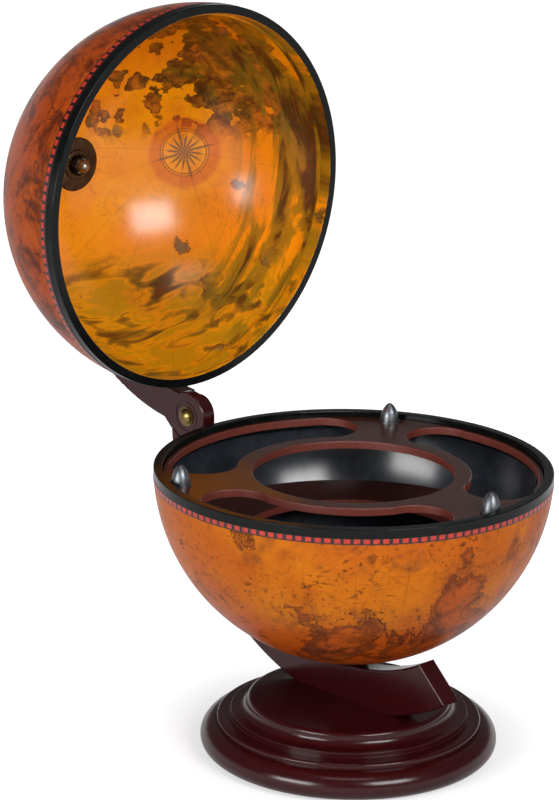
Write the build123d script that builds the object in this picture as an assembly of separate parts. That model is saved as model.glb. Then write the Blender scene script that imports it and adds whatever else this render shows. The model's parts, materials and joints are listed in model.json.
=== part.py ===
from build123d import *
import os
from math import cos, radians, sin, sqrt

# Tabletop globe bar: a globe split at its equator, carried by a crescent arm on a turned base.
# The lid half hangs on a second arm and swings back about one hinge bolt. It is modelled open.
# Millimetres, +Z up. The origin is the middle of the felt pad's underside, on the table.
# The hinge stands at +Y and its axis runs along X. "Level" is a height above the globe's centre.

# Globe
globe_radius = 165.0
shell_wall = 4.0
parting_level = -1.6      # plane where bowl and lid meet
closed_gap = 0.3          # left between the two rims when the lid is shut
fit_gap = 0.15            # curved faces of one body that touch

# Rims of bowl and lid
rim_inset = 0.3           # outside, within the globe
rim_width = 7.7
rim_skirt = 7.7           # height on the outside, down to the edge of the shell
rim_ledge = 2.8           # ledge inside, which carries the rack in the bowl
rim_ledge_height = 3.0
rim_round = 0.75

# Glass rack and its three knobs
rack_depth = 4.9          # rack's top below the parting plane
rack_thickness = 6.5
rack_play = 0.5           # between rack and rim
rack_turn = 1.8           # degrees, of the rack about Z
bottle_hole_radius = 83.5
ring_width = 14.0         # board between the bottle hole and the glass openings
outer_band = 4.5          # board outside the glass openings
glass_sweep = 72.4        # degrees between the centres of a glass opening's round ends
glass_end_swell = 1.0     # by which the round ends are wider than the opening
opening_round = 1.0
spoke_count = 3
knob_inset = 9.5          # knob's centre from the rack's edge
knob_radius = 7.9
knob_height = 15.0
knob_waist = 0.5          # share of the height at which the knob's side starts to lean in
knob_tip = 0.42           # share of the radius that the round tip takes
knob_flange_rim = 1.2     # flange beyond the knob's side
knob_flange = 1.6
knob_stud_radius = 2.5
knob_stud_length = 18.0
cleat_reach = 24.0        # inwards from the bowl's wall
cleat_width = 26.0
cleat_height = 16.0

# Boards inside the bowl
board_thickness = 6.0
shelf_drop = 55.5         # shelf's top below the rack's top
shelf_hole_margin = 9.5   # shelf's hole beyond the bottle hole
floor_rise = 25.5         # bottle floor's top above the bowl's deepest point

# Arms
arm_thickness = 18.0
arm_gap = 8.0             # between globe and arms
lower_arm_width = 39.0
lower_arm_end = -123.2    # degrees about the globe's centre, from +Y up, at the outer edge
lower_arm_lean = 12.9     # degrees of the end face from the radius
upper_arm_width = 28.5
upper_arm_end = 100.0     # degrees, with the lid shut
arm_round = 1.5

# Hinge
hinge_offset = 27.0       # from the globe to the hinge axis
pivot_level = -0.4
open_angle = 88.5         # degrees that the lid swings
lap_gap = 0.5             # from the middle plane to each half of the lap
cheek_radius = 21.5       # round end of the upper arm
cheek_play = 0.5
tongue_radius = 17.0      # round end of the lower arm
tongue_play = 0.6
web_overlap = 3.0         # of the tongue's web with the arm below it
stop_drop = 15.0          # stop face below the hinge axis
stop_gap = 0.1
horn_drop = 5.0           # inner end of the lower arm's near half below the stop
heel_slope = 16.0         # height over which the heel runs out into the upper arm
groove_radius = 12.8      # turned ring round the hinge bolt
groove_width = 0.9
groove_depth = 0.6
hinge_bolt_radius = 3.0
hinge_running_gap = 0.05
hinge_head_radius = 7.0
hinge_head_height = 4.5
head_crown = 0.7          # share of a bolt head's height that is domed
hinge_washer_radius = 8.5
washer_thickness = 1.0
nut_flats = 10.0
nut_height = 5.0
thread_end = 2.0          # bolt beyond its nut

# Pole bolts, one at each end of the globe's axis
pole_bolt_radius = 3.0
pole_hole_gap = 0.2
pole_head_radius = 6.5
pole_head_height = 4.0
pole_washer_radius = 7.5
head_room = 0.5           # round the bolt head in the base
spacer_radius = 15.0
rosette_radius = 24.0
rosette_flange = 1.8
rosette_boss_radius = 13.5
rosette_boss = 5.0
rosette_round = 1.1
rosette_recess_radius = 10.3
rosette_recess = 1.4
star_teeth = 14
star_outer_radius = 9.6
star_inner_radius = 7.0
star_thickness = 1.0
cap_nut_flats = 12.5
cap_nut_height = 6.0      # hexagon of the nut
cap_collar = 1.5          # straight part of the dome
cap_dome_radius = 6.0

# Base
felt_thickness = 1.5
felt_radius = 108.0
base_height = 46.0        # base's top above the table
arm_seat = 8.0            # arm's lowest point below the base's top
base_top_radius = 85.5
base_top_round = 3.5
cove_radius = 7.0
ledge_radius = 99.3
ledge_height = 35.0
lip_width = 1.0           # fine step round the foot of the ledge
lip_height = 31.6
step_radius = 110.9
step_height = 29.7
step_round = 2.0
bead_reach = 124.8        # widest radius of the base
bead_height = 11.5        # of the widest radius above the table
bead_upper_round = 13.0   # above the widest radius; below it the bead is round down to the felt
arris_round = 0.4
slot_gap = 0.1
arm_screw_spread = 30.0   # each screw from the middle, along Y
arm_screw_radius = 2.5
arm_screw_head_radius = 5.0
arm_screw_head = 3.5
arm_screw_recess = 6.0
arm_screw_grip = 26.0     # length inside the arm
screw_clearance = 0.3
pilot_gap = 0.05

shell_inner_radius = globe_radius - shell_wall
rim_outer_radius = globe_radius - rim_inset
rim_inner_radius = rim_outer_radius - rim_width
rack_level = parting_level - rack_depth
rack_underside = rack_level - rack_thickness
ledge_depth = rack_depth + rack_thickness
ledge_inner_radius = rim_inner_radius - rim_ledge
rack_radius = rim_inner_radius - rack_play
glass_inner_radius = bottle_hole_radius + ring_width
glass_outer_radius = rack_radius - outer_band
knob_circle_radius = rack_radius - knob_inset
shelf_level = rack_level - shelf_drop
shelf_hole_radius = bottle_hole_radius + shelf_hole_margin
floor_level = floor_rise - shell_inner_radius
half_arm = arm_thickness / 2
arm_inner_radius = globe_radius + arm_gap
lower_arm_outer_radius = arm_inner_radius + lower_arm_width
upper_arm_outer_radius = arm_inner_radius + upper_arm_width
globe_height = base_height - arm_seat + lower_arm_outer_radius
globe_centre = (0, 0, globe_height)
pivot_y = globe_radius + hinge_offset
pivot = (0, pivot_y, globe_height + pivot_level)
heel_length = lower_arm_outer_radius - pivot_y
star_seat = shell_inner_radius - rosette_boss + rosette_recess
nut_seat = star_seat - star_thickness


def on_globe(shape):
    """Lifts what is drawn about the globe's centre to its place."""
    return Pos(*globe_centre) * shape


def turned(sketch):
    """Revolves a sketch, drawn with radius across and level upwards, about the globe's axis."""
    return revolve(Plane.XZ * sketch, Axis.Z)


def swung_open(shape):
    """Swings a piece of the shut lid back about the hinge."""
    return Pos(*pivot) * Rot(-open_angle, 0, 0) * Pos(-pivot[0], -pivot[1], -pivot[2]) * shape


def block(x, y, z):
    """A box between pairs of limits."""
    size = [high - low for low, high in (x, y, z)]
    middle = [(high + low) / 2 for low, high in (x, y, z)]
    return Pos(*middle) * Box(*size)


def window(across, upwards):
    """A rectangle between pairs of limits, in sketch coordinates."""
    size = (across[1] - across[0], upwards[1] - upwards[0])
    return Pos(sum(across) / 2, sum(upwards) / 2) * Rectangle(*size)


def arc_band(inner, outer, start, sweep):
    """A flat band between two arcs about the origin."""
    inside = CenterArc((0, 0), inner, start, sweep)
    outside = CenterArc((0, 0), outer, start, sweep)
    ends = [Line(inside @ 0, outside @ 0), Line(inside @ 1, outside @ 1)]
    return make_face([inside, outside, *ends])


def side_plate(sketch, x_low, x_high):
    """Extrudes a sketch, drawn with Y across and level upwards, between two X limits."""
    return Pos(x_low, 0, 0) * extrude(Plane.YZ * sketch, x_high - x_low)


def cross_pin(radius, x_low, x_high):
    """A round bar along the hinge axis."""
    middle = (x_low + x_high) / 2
    return Pos(middle, pivot[1], pivot[2]) * Rot(0, 90, 0) * Cylinder(radius, x_high - x_low)


def shell(side):
    """Half of the globe's skin: side -1 is the bowl, +1 the lid."""
    edge = parting_level + side * (closed_gap / 2 + rim_skirt)
    ring = Circle(globe_radius) - Circle(shell_inner_radius)
    far = side * (globe_radius + 1)
    keep = window((pole_bolt_radius + pole_hole_gap, globe_radius + 1), sorted((edge, far)))
    return on_globe(turned(ring & keep))


def rim(side):
    """Moulded ring on the edge of a shell, with a tongue and a ledge inside it."""
    face = parting_level + side * closed_gap / 2
    skirt = face + side * rim_skirt
    ledge = parting_level + side * ledge_depth
    foot = ledge + side * rim_ledge_height
    body = window((rim_inner_radius, rim_outer_radius), sorted((face, foot)))
    body = fillet(body.vertices(), rim_round)
    body += window((ledge_inner_radius, rim_outer_radius), sorted((ledge, foot)))
    room = window((0, globe_radius), sorted((skirt, foot + side))) - Circle(shell_inner_radius - fit_gap)
    return on_globe(turned(body - room))


def glass_opening():
    """One kidney-shaped opening of the rack, centred on the X axis."""
    middle = (glass_inner_radius + glass_outer_radius) / 2
    reach = (glass_outer_radius - glass_inner_radius) / 2
    shape = arc_band(glass_inner_radius, glass_outer_radius, -glass_sweep / 2, glass_sweep)
    for turn in (-glass_sweep / 2, glass_sweep / 2):
        shape += Rot(0, 0, turn) * Pos(middle, 0) * Circle(reach + glass_end_swell)
    return shape


def spoke_angles():
    """Directions of the rack's spokes, in degrees."""
    return [rack_turn + 30 + 360 / spoke_count * n for n in range(spoke_count)]


def knob_places():
    """Places of the knobs, one on each spoke."""
    return [Rot(0, 0, spoke) * Pos(knob_circle_radius, 0, 0) for spoke in spoke_angles()]


def glass_rack():
    """Round board that holds the glasses and, in its middle, a bottle."""
    outline = Circle(rack_radius) - Circle(bottle_hole_radius)
    between_spokes = 180 / spoke_count
    for spoke in spoke_angles():
        outline -= Rot(0, 0, spoke - between_spokes) * glass_opening()
    board = Pos(0, 0, rack_underside) * extrude(outline, rack_thickness)
    top = board.faces().sort_by(Axis.Z)[-1]
    board = fillet(top.edges(), opening_round)
    stud_hole = Pos(0, 0, rack_level) * Cylinder(knob_stud_radius + pole_hole_gap, 3 * rack_thickness)
    for place in knob_places():
        board -= place * stud_hole
    return on_globe(board)


def rack_knob(place):
    """Bullet-shaped knob with the stud that holds the rack down."""
    flange = window((0, knob_radius + knob_flange_rim), (0, knob_flange))
    foot, shoulder = (0, knob_flange), (knob_radius, knob_flange)
    tip = (0, knob_flange + knob_height)
    lower_handle = (knob_radius, knob_flange + knob_height * knob_waist)
    upper_handle = (knob_radius * knob_tip, knob_flange + knob_height)
    side = Bezier(shoulder, lower_handle, upper_handle, tip)
    bullet = make_face([side, Line(tip, foot), Line(foot, shoulder)])
    stud = window((0, knob_stud_radius), (-knob_stud_length, 0))
    return on_globe(place * Pos(0, 0, rack_level) * turned(flange + bullet + stud))


def rack_cleat(place):
    """Block glued to the bowl's wall under a spoke."""
    wall = shell_inner_radius - knob_circle_radius
    body = block(
        (wall - cleat_reach, wall + shell_wall),
        (-cleat_width / 2, cleat_width / 2),
        (rack_underside - cleat_height, rack_underside),
    )
    hole_depth = knob_stud_length - rack_thickness + pilot_gap
    body -= Pos(0, 0, rack_underside) * Cylinder(knob_stud_radius + pilot_gap, 2 * hole_depth)
    notch = window((ledge_inner_radius - fit_gap, globe_radius), (rack_underside - rim_ledge_height, 0))
    return on_globe(place * body & Sphere(shell_inner_radius - fit_gap) - turned(notch))


def bowl_board(level, hole_radius):
    """Level board whose bevelled edge rests on the bowl's round wall."""
    under = level - board_thickness
    reach = shell_inner_radius - fit_gap
    top_edge = (sqrt(reach**2 - level**2), level)
    under_edge = (sqrt(reach**2 - under**2), under)
    outline = Polyline((hole_radius, level), top_edge, under_edge, (hole_radius, under), close=True)
    return on_globe(turned(make_face(outline)))


def lower_arm():
    """Crescent arm that stands on the base and ends in the hinge's tongue."""
    beyond = lower_arm_outer_radius + 1
    seat = pivot_level - stop_drop
    start = lower_arm_end - 5
    band = arc_band(arm_inner_radius, lower_arm_outer_radius, start, -start)
    band -= window((0, beyond), (seat, beyond))
    end_face = Rot(0, 0, lower_arm_end) * Pos(lower_arm_outer_radius, 0) * Rot(0, 0, -lower_arm_lean)
    band -= end_face * window((-beyond, beyond), (-beyond / 2, 0))
    centre = Pos(pivot_y, pivot_level)
    near = band - centre * Circle(cheek_radius + cheek_play)
    near -= window((0, pivot_y), (seat - horn_drop, beyond))
    web = centre * window((-tongue_radius, tongue_radius / 2), (-stop_drop - web_overlap, 0))
    far = band + web + centre * Circle(tongue_radius)
    arm = on_globe(lapped(near, far, lap_gap))
    arm -= cross_pin(hinge_bolt_radius + hinge_running_gap, -half_arm, half_arm + 1)
    arm -= on_globe(to_pole(-1, pole_bore(lower_arm_outer_radius)))
    for place in arm_screw_places():
        arm -= place * arm_screw_shank(arm_screw_radius + pilot_gap)
    return arm


def upper_arm():
    """Arm of the lid, drawn shut: its cheek laps the tongue of the lower arm."""
    beyond = upper_arm_outer_radius + 1
    band = arc_band(arm_inner_radius, upper_arm_outer_radius, -10, upper_arm_end + 10)
    band -= window((0, beyond), (-beyond, pivot_level))
    centre = Pos(pivot_y, pivot_level)
    face = stop_drop - stop_gap
    heel_top = heel_length + heel_slope
    heel = Polyline((0, 0), (face, 0), (face, heel_length), (0, heel_top), close=True)
    heel = Rot(0, 0, open_angle - 90) * make_face(heel)
    near = band + centre * Circle(cheek_radius) + centre * heel
    far = band - centre * Circle(tongue_radius + tongue_play)
    far -= window((0, beyond), (-beyond, pivot_level + tongue_radius / 2))
    arm = on_globe(lapped(near, far, -lap_gap))
    arm -= cross_pin(hinge_bolt_radius + hinge_running_gap, -half_arm - 1, 0)
    groove = cross_pin(groove_radius + groove_width / 2, -half_arm, -half_arm + groove_depth)
    groove -= cross_pin(groove_radius - groove_width / 2, -half_arm - 1, half_arm)
    return arm - groove - on_globe(pole_bore(upper_arm_outer_radius))


def lapped(near, far, x_step):
    """An arm from the outlines of its near and far halves, which meet at x_step, with round outer edges."""
    near = side_plate(near, -half_arm, x_step)
    far = side_plate(far, x_step, half_arm)
    near = fillet(near.faces().sort_by(Axis.X)[0].edges(), arm_round)
    far = fillet(far.faces().sort_by(Axis.X)[-1].edges(), arm_round)
    return near + far


def pole_bore(outside):
    """Hole for a pole bolt through an arm."""
    return turned(window((0, pole_bolt_radius + pole_hole_gap), (arm_inner_radius - 5, outside + 5)))


def to_pole(side, shape):
    """Turns what is drawn for the top pole to the pole of this side."""
    return shape if side > 0 else Rot(180, 0, 0) * shape


def pole_spacer(side):
    """Thick washer between an arm and the shell."""
    bore = pole_bolt_radius + pole_hole_gap
    body = window((bore, spacer_radius), (globe_radius - arm_gap, arm_inner_radius + arm_gap))
    spacer = turned(body) - Sphere(globe_radius + fit_gap)
    spacer &= Rot(0, 90, 0) * Cylinder(arm_inner_radius - fit_gap, 4 * spacer_radius)
    return on_globe(to_pole(side, spacer))


def pole_bolt(side, seat):
    """Round-headed bolt along the globe's axis."""
    under_head = seat + washer_thickness
    shank = window((0, pole_bolt_radius), (nut_seat - cap_nut_height, under_head))
    head = round_head(pole_head_radius, pole_head_height)
    return on_globe(to_pole(side, turned(shank + Pos(0, under_head) * head)))


def round_head(radius, height):
    """Half section of a domed bolt head that stands on the sketch's X axis."""
    crown = height * head_crown
    crown_radius = (radius**2 + crown**2) / (2 * crown)
    ball = Pos(0, height - crown_radius) * Circle(crown_radius)
    return ball & window((0, radius), (0, height))


def pole_washer(side, seat):
    """Flat washer under the head of a pole bolt."""
    ring = window((pole_bolt_radius + pole_hole_gap, pole_washer_radius), (seat, seat + washer_thickness))
    return on_globe(to_pole(side, turned(ring)))


def rosette(side):
    """Round escutcheon inside the shell, dished to its curve, with a raised boss."""
    rim_level = sqrt(shell_inner_radius**2 - rosette_radius**2)
    flange = window((0, rosette_radius), (rim_level - rosette_flange, shell_inner_radius))
    flange = fillet(flange.vertices().sort_by(Axis.Y)[:2].sort_by(Axis.X)[-1:], rosette_round)
    boss = window((0, rosette_boss_radius), (shell_inner_radius - rosette_boss, shell_inner_radius))
    boss = fillet(boss.vertices().sort_by(Axis.Y)[:2].sort_by(Axis.X)[-1:], rosette_round)
    recess = window((0, rosette_recess_radius), (0, star_seat))
    bore = window((0, pole_bolt_radius + pole_hole_gap), (0, globe_radius))
    body = (flange + boss - recess - bore) & Circle(shell_inner_radius - fit_gap)
    return on_globe(to_pole(side, turned(body)))


def star_washer(side):
    """Toothed lock washer in the recess of the rosette."""
    outline = Circle(star_inner_radius)
    half_pitch = radians(180 / star_teeth)
    foot = (star_inner_radius * cos(half_pitch), star_inner_radius * sin(half_pitch))
    tooth = make_face(Polyline((0, 0), (foot[0], -foot[1]), (star_outer_radius, 0), foot, close=True))
    for n in range(star_teeth):
        outline += Rot(0, 0, 360 / star_teeth * n) * tooth
    outline -= Circle(pole_bolt_radius + pole_hole_gap)
    washer = Pos(0, 0, nut_seat) * extrude(outline, star_thickness)
    return on_globe(to_pole(side, washer))


def hexagon(flats):
    """Hexagon of a nut from its width across flats."""
    return RegularPolygon(flats / 2, 6, major_radius=False)


def cap_nut(side):
    """Domed nut that closes the inner end of a pole bolt."""
    shoulder = Pos(0, 0, nut_seat - cap_nut_height)
    hexagon_part = shoulder * extrude(hexagon(cap_nut_flats), cap_nut_height)
    crown = Pos(0, 0, -cap_collar) * shoulder
    dome = crown * Sphere(cap_dome_radius)
    dome -= Pos(0, 0, cap_dome_radius) * crown * Box(*[2 * cap_dome_radius] * 3)
    dome += Pos(0, 0, cap_collar / 2) * crown * Cylinder(cap_dome_radius, cap_collar)
    depth = cap_nut_height + pilot_gap
    thread = Pos(0, 0, nut_seat - depth / 2) * Cylinder(pole_bolt_radius + pilot_gap, depth)
    return on_globe(to_pole(side, hexagon_part + dome - thread))


def hinge_bolt():
    """Bolt through both halves of the lap, its head on the -X side."""
    under_head = -half_arm - washer_thickness
    end = half_arm + washer_thickness + nut_height + thread_end
    head = turned(round_head(hinge_head_radius, hinge_head_height))
    head = Pos(under_head, pivot[1], pivot[2]) * Rot(0, -90, 0) * head
    return head + cross_pin(hinge_bolt_radius, under_head, end)


def hinge_ring(x_low, x_high):
    """Flat washer on the hinge bolt."""
    bore = cross_pin(hinge_bolt_radius + hinge_running_gap, x_low - 1, x_high + 1)
    return cross_pin(hinge_washer_radius, x_low, x_high) - bore


def hinge_nut():
    """Hexagon nut on the +X side."""
    x_low = half_arm + washer_thickness
    nut = Pos(x_low, pivot[1], pivot[2]) * Rot(0, 90, 0) * extrude(hexagon(nut_flats), nut_height)
    return nut - cross_pin(hinge_bolt_radius + pilot_gap, x_low - 1, x_low + nut_height + 1)


def arm_screw_places():
    """Places on the table plane of the two screws that hold the arm."""
    return [Pos(0, side * arm_screw_spread, 0) for side in (-1, 1)]


def arm_screw_shank(radius):
    """Shank of an arm screw, or with a larger radius the hole for it."""
    start = felt_thickness + arm_screw_recess
    arm_underside = globe_height - sqrt(lower_arm_outer_radius**2 - arm_screw_spread**2)
    length = arm_underside + arm_screw_grip - start
    return Pos(0, 0, start + length / 2) * Cylinder(radius, length)


def arm_screws():
    """Two screws up through the base into the lower arm."""
    seat = felt_thickness + arm_screw_recess
    head = Pos(0, 0, seat - arm_screw_head / 2) * Cylinder(arm_screw_head_radius, arm_screw_head)
    return [place * (head + arm_screw_shank(arm_screw_radius)) for place in arm_screw_places()]


def base_outline():
    """Half section of the turned base, from the middle of its underside round to the middle of its top."""
    lip_radius = ledge_radius + lip_width
    lower_round = bead_height - felt_thickness
    foot_radius = bead_reach - lower_round
    crest_radius = bead_reach - bead_upper_round
    bead_top = bead_height + bead_upper_round
    step_foot = step_height - step_round
    step_crest = step_radius - step_round
    cove_foot = base_top_radius + cove_radius
    crown_foot = base_height - base_top_round
    crown_edge = base_top_radius - base_top_round
    lines = [
        Line((0, felt_thickness), (foot_radius, felt_thickness)),
        CenterArc((foot_radius, bead_height), lower_round, -90, 90),
        CenterArc((crest_radius, bead_height), bead_upper_round, 0, 90),
        Line((crest_radius, bead_top), (step_radius, bead_top)),
        Line((step_radius, bead_top), (step_radius, step_foot)),
        CenterArc((step_crest, step_foot), step_round, 0, 90),
        Line((step_crest, step_height), (lip_radius, step_height)),
        Line((lip_radius, step_height), (lip_radius, lip_height)),
        Line((lip_radius, lip_height), (ledge_radius, lip_height)),
        Line((ledge_radius, lip_height), (ledge_radius, ledge_height)),
        Line((ledge_radius, ledge_height), (cove_foot, ledge_height)),
        CenterArc((cove_foot, ledge_height + cove_radius), cove_radius, -90, -90),
        Line((base_top_radius, ledge_height + cove_radius), (base_top_radius, crown_foot)),
        CenterArc((crown_edge, crown_foot), base_top_round, 0, 90),
        Line((crown_edge, base_height), (0, base_height)),
        Line((0, base_height), (0, felt_thickness)),
    ]
    outline = make_face(lines)
    arrises = [(lip_radius, lip_height), (ledge_radius, ledge_height)]
    sharp = [v for v in outline.vertices() if (round(v.X, 3), round(v.Y, 3)) in arrises]
    return fillet(sharp, arris_round)


def base():
    """Turned base with the slot for the lower arm and a pocket for the bowl's bolt head."""
    body = turned(base_outline())
    reach = half_arm + slot_gap
    slot_radius = lower_arm_outer_radius + slot_gap
    body -= Pos(*globe_centre) * Rot(0, 90, 0) * Cylinder(slot_radius, 2 * reach)
    pocket_end = lower_arm_outer_radius + washer_thickness + pole_head_height + head_room
    pocket = window((0, pole_washer_radius + head_room), (arm_inner_radius, pocket_end))
    body -= on_globe(to_pole(-1, turned(pocket)))
    recess = Cylinder(arm_screw_head_radius + screw_clearance, arm_screw_recess)
    recess = Pos(0, 0, felt_thickness + arm_screw_recess / 2) * recess
    for place in arm_screw_places():
        body -= place * (recess + arm_screw_shank(arm_screw_radius + screw_clearance))
    return body


def felt_pad():
    """Felt disc under the base."""
    return Pos(0, 0, felt_thickness / 2) * Cylinder(felt_radius, felt_thickness)


def all_nodes():
    """Every piece by name: the stand as it is, the lid swung open."""
    nodes = {
        "felt_pad": felt_pad(),
        "base": base(),
        "arm_screws": arm_screws(),
        "lower_arm": lower_arm(),
        "bowl_shell": shell(-1),
        "bowl_rim": rim(-1),
        "bowl_spacer": pole_spacer(-1),
        "bowl_bolt": pole_bolt(-1, lower_arm_outer_radius),
        "bowl_bolt_washer": pole_washer(-1, lower_arm_outer_radius),
        "bowl_rosette": rosette(-1),
        "bowl_star_washer": star_washer(-1),
        "bowl_cap_nut": cap_nut(-1),
        "bottle_floor": bowl_board(floor_level, 0),
        "glass_shelf": bowl_board(shelf_level, shelf_hole_radius),
        "glass_rack": glass_rack(),
        "hinge_bolt": hinge_bolt(),
        "hinge_head_washer": hinge_ring(-half_arm - washer_thickness, -half_arm),
        "hinge_slip_washer": hinge_ring(-lap_gap, lap_gap),
        "hinge_nut_washer": hinge_ring(half_arm, half_arm + washer_thickness),
        "hinge_nut": hinge_nut(),
    }
    for n, place in enumerate(knob_places(), 1):
        nodes[f"rack_knob_{n}"] = rack_knob(place)
        nodes[f"rack_cleat_{n}"] = rack_cleat(place)
    shut_lid = {
        "upper_arm": upper_arm(),
        "lid_shell": shell(1),
        "lid_rim": rim(1),
        "lid_spacer": pole_spacer(1),
        "lid_bolt": pole_bolt(1, upper_arm_outer_radius),
        "lid_bolt_washer": pole_washer(1, upper_arm_outer_radius),
        "lid_rosette": rosette(1),
        "lid_star_washer": star_washer(1),
        "lid_cap_nut": cap_nut(1),
    }
    nodes.update({name: swung_open(piece) for name, piece in shut_lid.items()})
    return nodes


os.makedirs("parts", exist_ok=True)
for name, piece in all_nodes().items():
    solids = [s for one in piece for s in one.solids()] if isinstance(piece, list) else piece.solids()
    export_step(Compound(children=solids), f"parts/{name}.step")
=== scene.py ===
"""Looks of a tabletop globe bar: an old-map print, lacquered mahogany and black lacquered fittings.

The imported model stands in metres, with +Z up and the hinge at +Y. Its nodes get their materials here,
and the printed band beside each rim of the globe is added as thin pieces that ride with the model.
"""

import json
import math

import bpy
from mathutils import Matrix, Vector


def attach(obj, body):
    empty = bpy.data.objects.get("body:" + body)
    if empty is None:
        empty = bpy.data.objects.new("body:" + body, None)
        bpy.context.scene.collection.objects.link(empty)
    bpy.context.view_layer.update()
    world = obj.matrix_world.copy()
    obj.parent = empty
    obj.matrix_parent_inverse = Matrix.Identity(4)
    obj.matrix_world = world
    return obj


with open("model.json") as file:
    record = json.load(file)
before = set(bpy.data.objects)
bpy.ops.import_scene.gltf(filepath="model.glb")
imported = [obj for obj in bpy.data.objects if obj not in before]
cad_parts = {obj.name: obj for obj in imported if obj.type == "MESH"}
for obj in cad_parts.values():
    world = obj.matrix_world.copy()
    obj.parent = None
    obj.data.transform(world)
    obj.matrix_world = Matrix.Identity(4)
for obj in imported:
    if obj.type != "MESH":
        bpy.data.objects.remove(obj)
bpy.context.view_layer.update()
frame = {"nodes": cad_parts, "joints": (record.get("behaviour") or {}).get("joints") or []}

MM = 0.001
nodes = frame["nodes"]
lid_hinge = frame["joints"][0]
hinge = Vector(lid_hinge["pos_m"])

# The globe, split at its parting plane. The open lid is turned back about the hinge.
GLOBE_RADIUS = 165 * MM
PRINT_DEPTH = 2 * MM       # surfaces of a shell deeper than this are its inside
RIM_WALL = 157.4 * MM      # radius just outside the inner wall of the rims
PIVOT_LEVEL = -0.4 * MM    # the hinge's height above the globe's centre
BOWL_CENTRE = Vector((0, 0, hinge.z - PIVOT_LEVEL))
LID_OPENING = -math.radians(lid_hinge["range_deg"][1])
opened = Matrix.Rotation(LID_OPENING, 3, "X")
LID_CENTRE = hinge + opened @ (BOWL_CENTRE - hinge)

# Kinds of node that are used often
MATH = "ShaderNodeMath"
VECTOR = "ShaderNodeVectorMath"
MIX = "ShaderNodeMix"
RANGE = "ShaderNodeMapRange"
NOISE = "ShaderNodeTexNoise"
CELLS = "ShaderNodeTexVoronoi"
BUMP = "ShaderNodeBump"
MAPPING = "ShaderNodeMapping"
COORDINATES = "ShaderNodeTexCoord"
SPLIT = "ShaderNodeSeparateXYZ"
JOIN = "ShaderNodeCombineXYZ"

# Their settings
MULTIPLY = {"operation": "MULTIPLY"}
SUBTRACT = {"operation": "SUBTRACT"}
POSITIVE = {"operation": "ABSOLUTE"}
LARGER = {"operation": "MAXIMUM"}
BELOW = {"operation": "LESS_THAN"}
ABOVE = {"operation": "GREATER_THAN"}
FOLD = {"operation": "PINGPONG"}
ANGLE = {"operation": "ARCTAN2"}
LENGTH = {"operation": "LENGTH"}
COLOURS = {"data_type": "RGBA"}
NUMBERS = {"data_type": "FLOAT"}
SMOOTH = {"interpolation_type": "SMOOTHSTEP"}
SEEDED = {"noise_dimensions": "4D"}


def linear(colour):
    """An sRGB colour such as "#c86a1a" as linear red, green, blue and alpha."""
    channels = [int(colour[i : i + 2], 16) / 255 for i in (1, 3, 5)]
    return [c / 12.92 if c <= 0.04045 else ((c + 0.055) / 1.055) ** 2.4 for c in channels] + [1.0]


def add(tree, kind, settings=None, inputs=None):
    """Adds a node with its settings. An input is a value, a colour or the socket or node that feeds it."""
    node = tree.nodes.new(kind)
    for name, value in (settings or {}).items():
        setattr(node, name, value)
    for key, value in (inputs or {}).items():
        if isinstance(key, str):
            key = next(i for i, s in enumerate(node.inputs) if s.enabled and s.name == key)
        if isinstance(value, bpy.types.Node):
            value = next(s for s in value.outputs if s.enabled)
        if isinstance(value, bpy.types.NodeSocket):
            tree.links.new(value, node.inputs[key])
        else:
            node.inputs[key].default_value = linear(value) if isinstance(value, str) else value
    return node


def new_tree(name):
    """An empty material and its tree."""
    material = bpy.data.materials.new(name)
    material.use_nodes = True
    material.node_tree.nodes.clear()
    return material, material.node_tree


def finish_surface(tree, **surface):
    """Gives a material its Principled surface. Words such as Base_Color name the surface's inputs."""
    inputs = {name.replace("_", " "): value for name, value in surface.items()}
    shader = add(tree, "ShaderNodeBsdfPrincipled", {}, inputs)
    add(tree, "ShaderNodeOutputMaterial", {}, {"Surface": shader})


# Patterns. A place is in metres, so that sizes, widths and levels are real ones.

FULL_INK = 0.4    # share of a line's half width that is fully inked


def noise_inputs(place, size, detail=3.0, roughness=0.5, distortion=0.0, seed=0.0):
    """Inputs of a noise whose largest patches have a size. The seed picks the pattern at any size."""
    shape = {"Detail": detail, "Roughness": roughness, "Distortion": distortion}
    return {"Vector": place, "Scale": 1 / size, "W": seed * size, **shape}


def patches(tree, place, size, low, high, **shape):
    """Cloudy patches: 0 where their noise is at low, going smoothly to 1 where it is at high."""
    cloud = add(tree, NOISE, SEEDED, noise_inputs(place, size, **shape))
    return add(tree, RANGE, SMOOTH, {"Value": cloud, "From Min": low, "From Max": high})


def painted(tree, ground, ink, strength, *masks):
    """Lays an ink over the ground where all the masks are 1."""
    share = strength
    for mask in masks:
        share = add(tree, MATH, MULTIPLY, {0: share, 1: mask})
    return add(tree, MIX, COLOURS, {"Factor": share, "A": ground, "B": ink})


def contour(tree, value, level, width):
    """A line along the places where value is at a level. It fades out at the width, measured in value."""
    away = add(tree, MATH, SUBTRACT, {0: value, 1: level})
    away = add(tree, MATH, POSITIVE, {0: away})
    return add(tree, RANGE, SMOOTH, {"Value": away, "From Min": width, "From Max": width * FULL_INK})


def towards(tree, place, axis, start, full):
    """0 where the place along an axis is at start, going smoothly to 1 where it is at full."""
    level = add(tree, SPLIT, {}, {0: place}).outputs[axis]
    return add(tree, RANGE, SMOOTH, {"Value": level, "From Min": start, "From Max": full})


def axis_distance(tree, place):
    """Distance from the Z axis."""
    flat = add(tree, VECTOR, MULTIPLY, {0: place, 1: (1, 1, 0)})
    return add(tree, VECTOR, LENGTH, {0: flat}).outputs["Value"]


def sectors(tree, place, count):
    """Angle about the Z axis, counted in equal sectors."""
    parts = add(tree, SPLIT, {}, {0: place}).outputs
    angle = add(tree, MATH, ANGLE, {0: parts["Y"], 1: parts["X"]})
    return add(tree, MATH, MULTIPLY, {0: angle, 1: count / math.tau})


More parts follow.
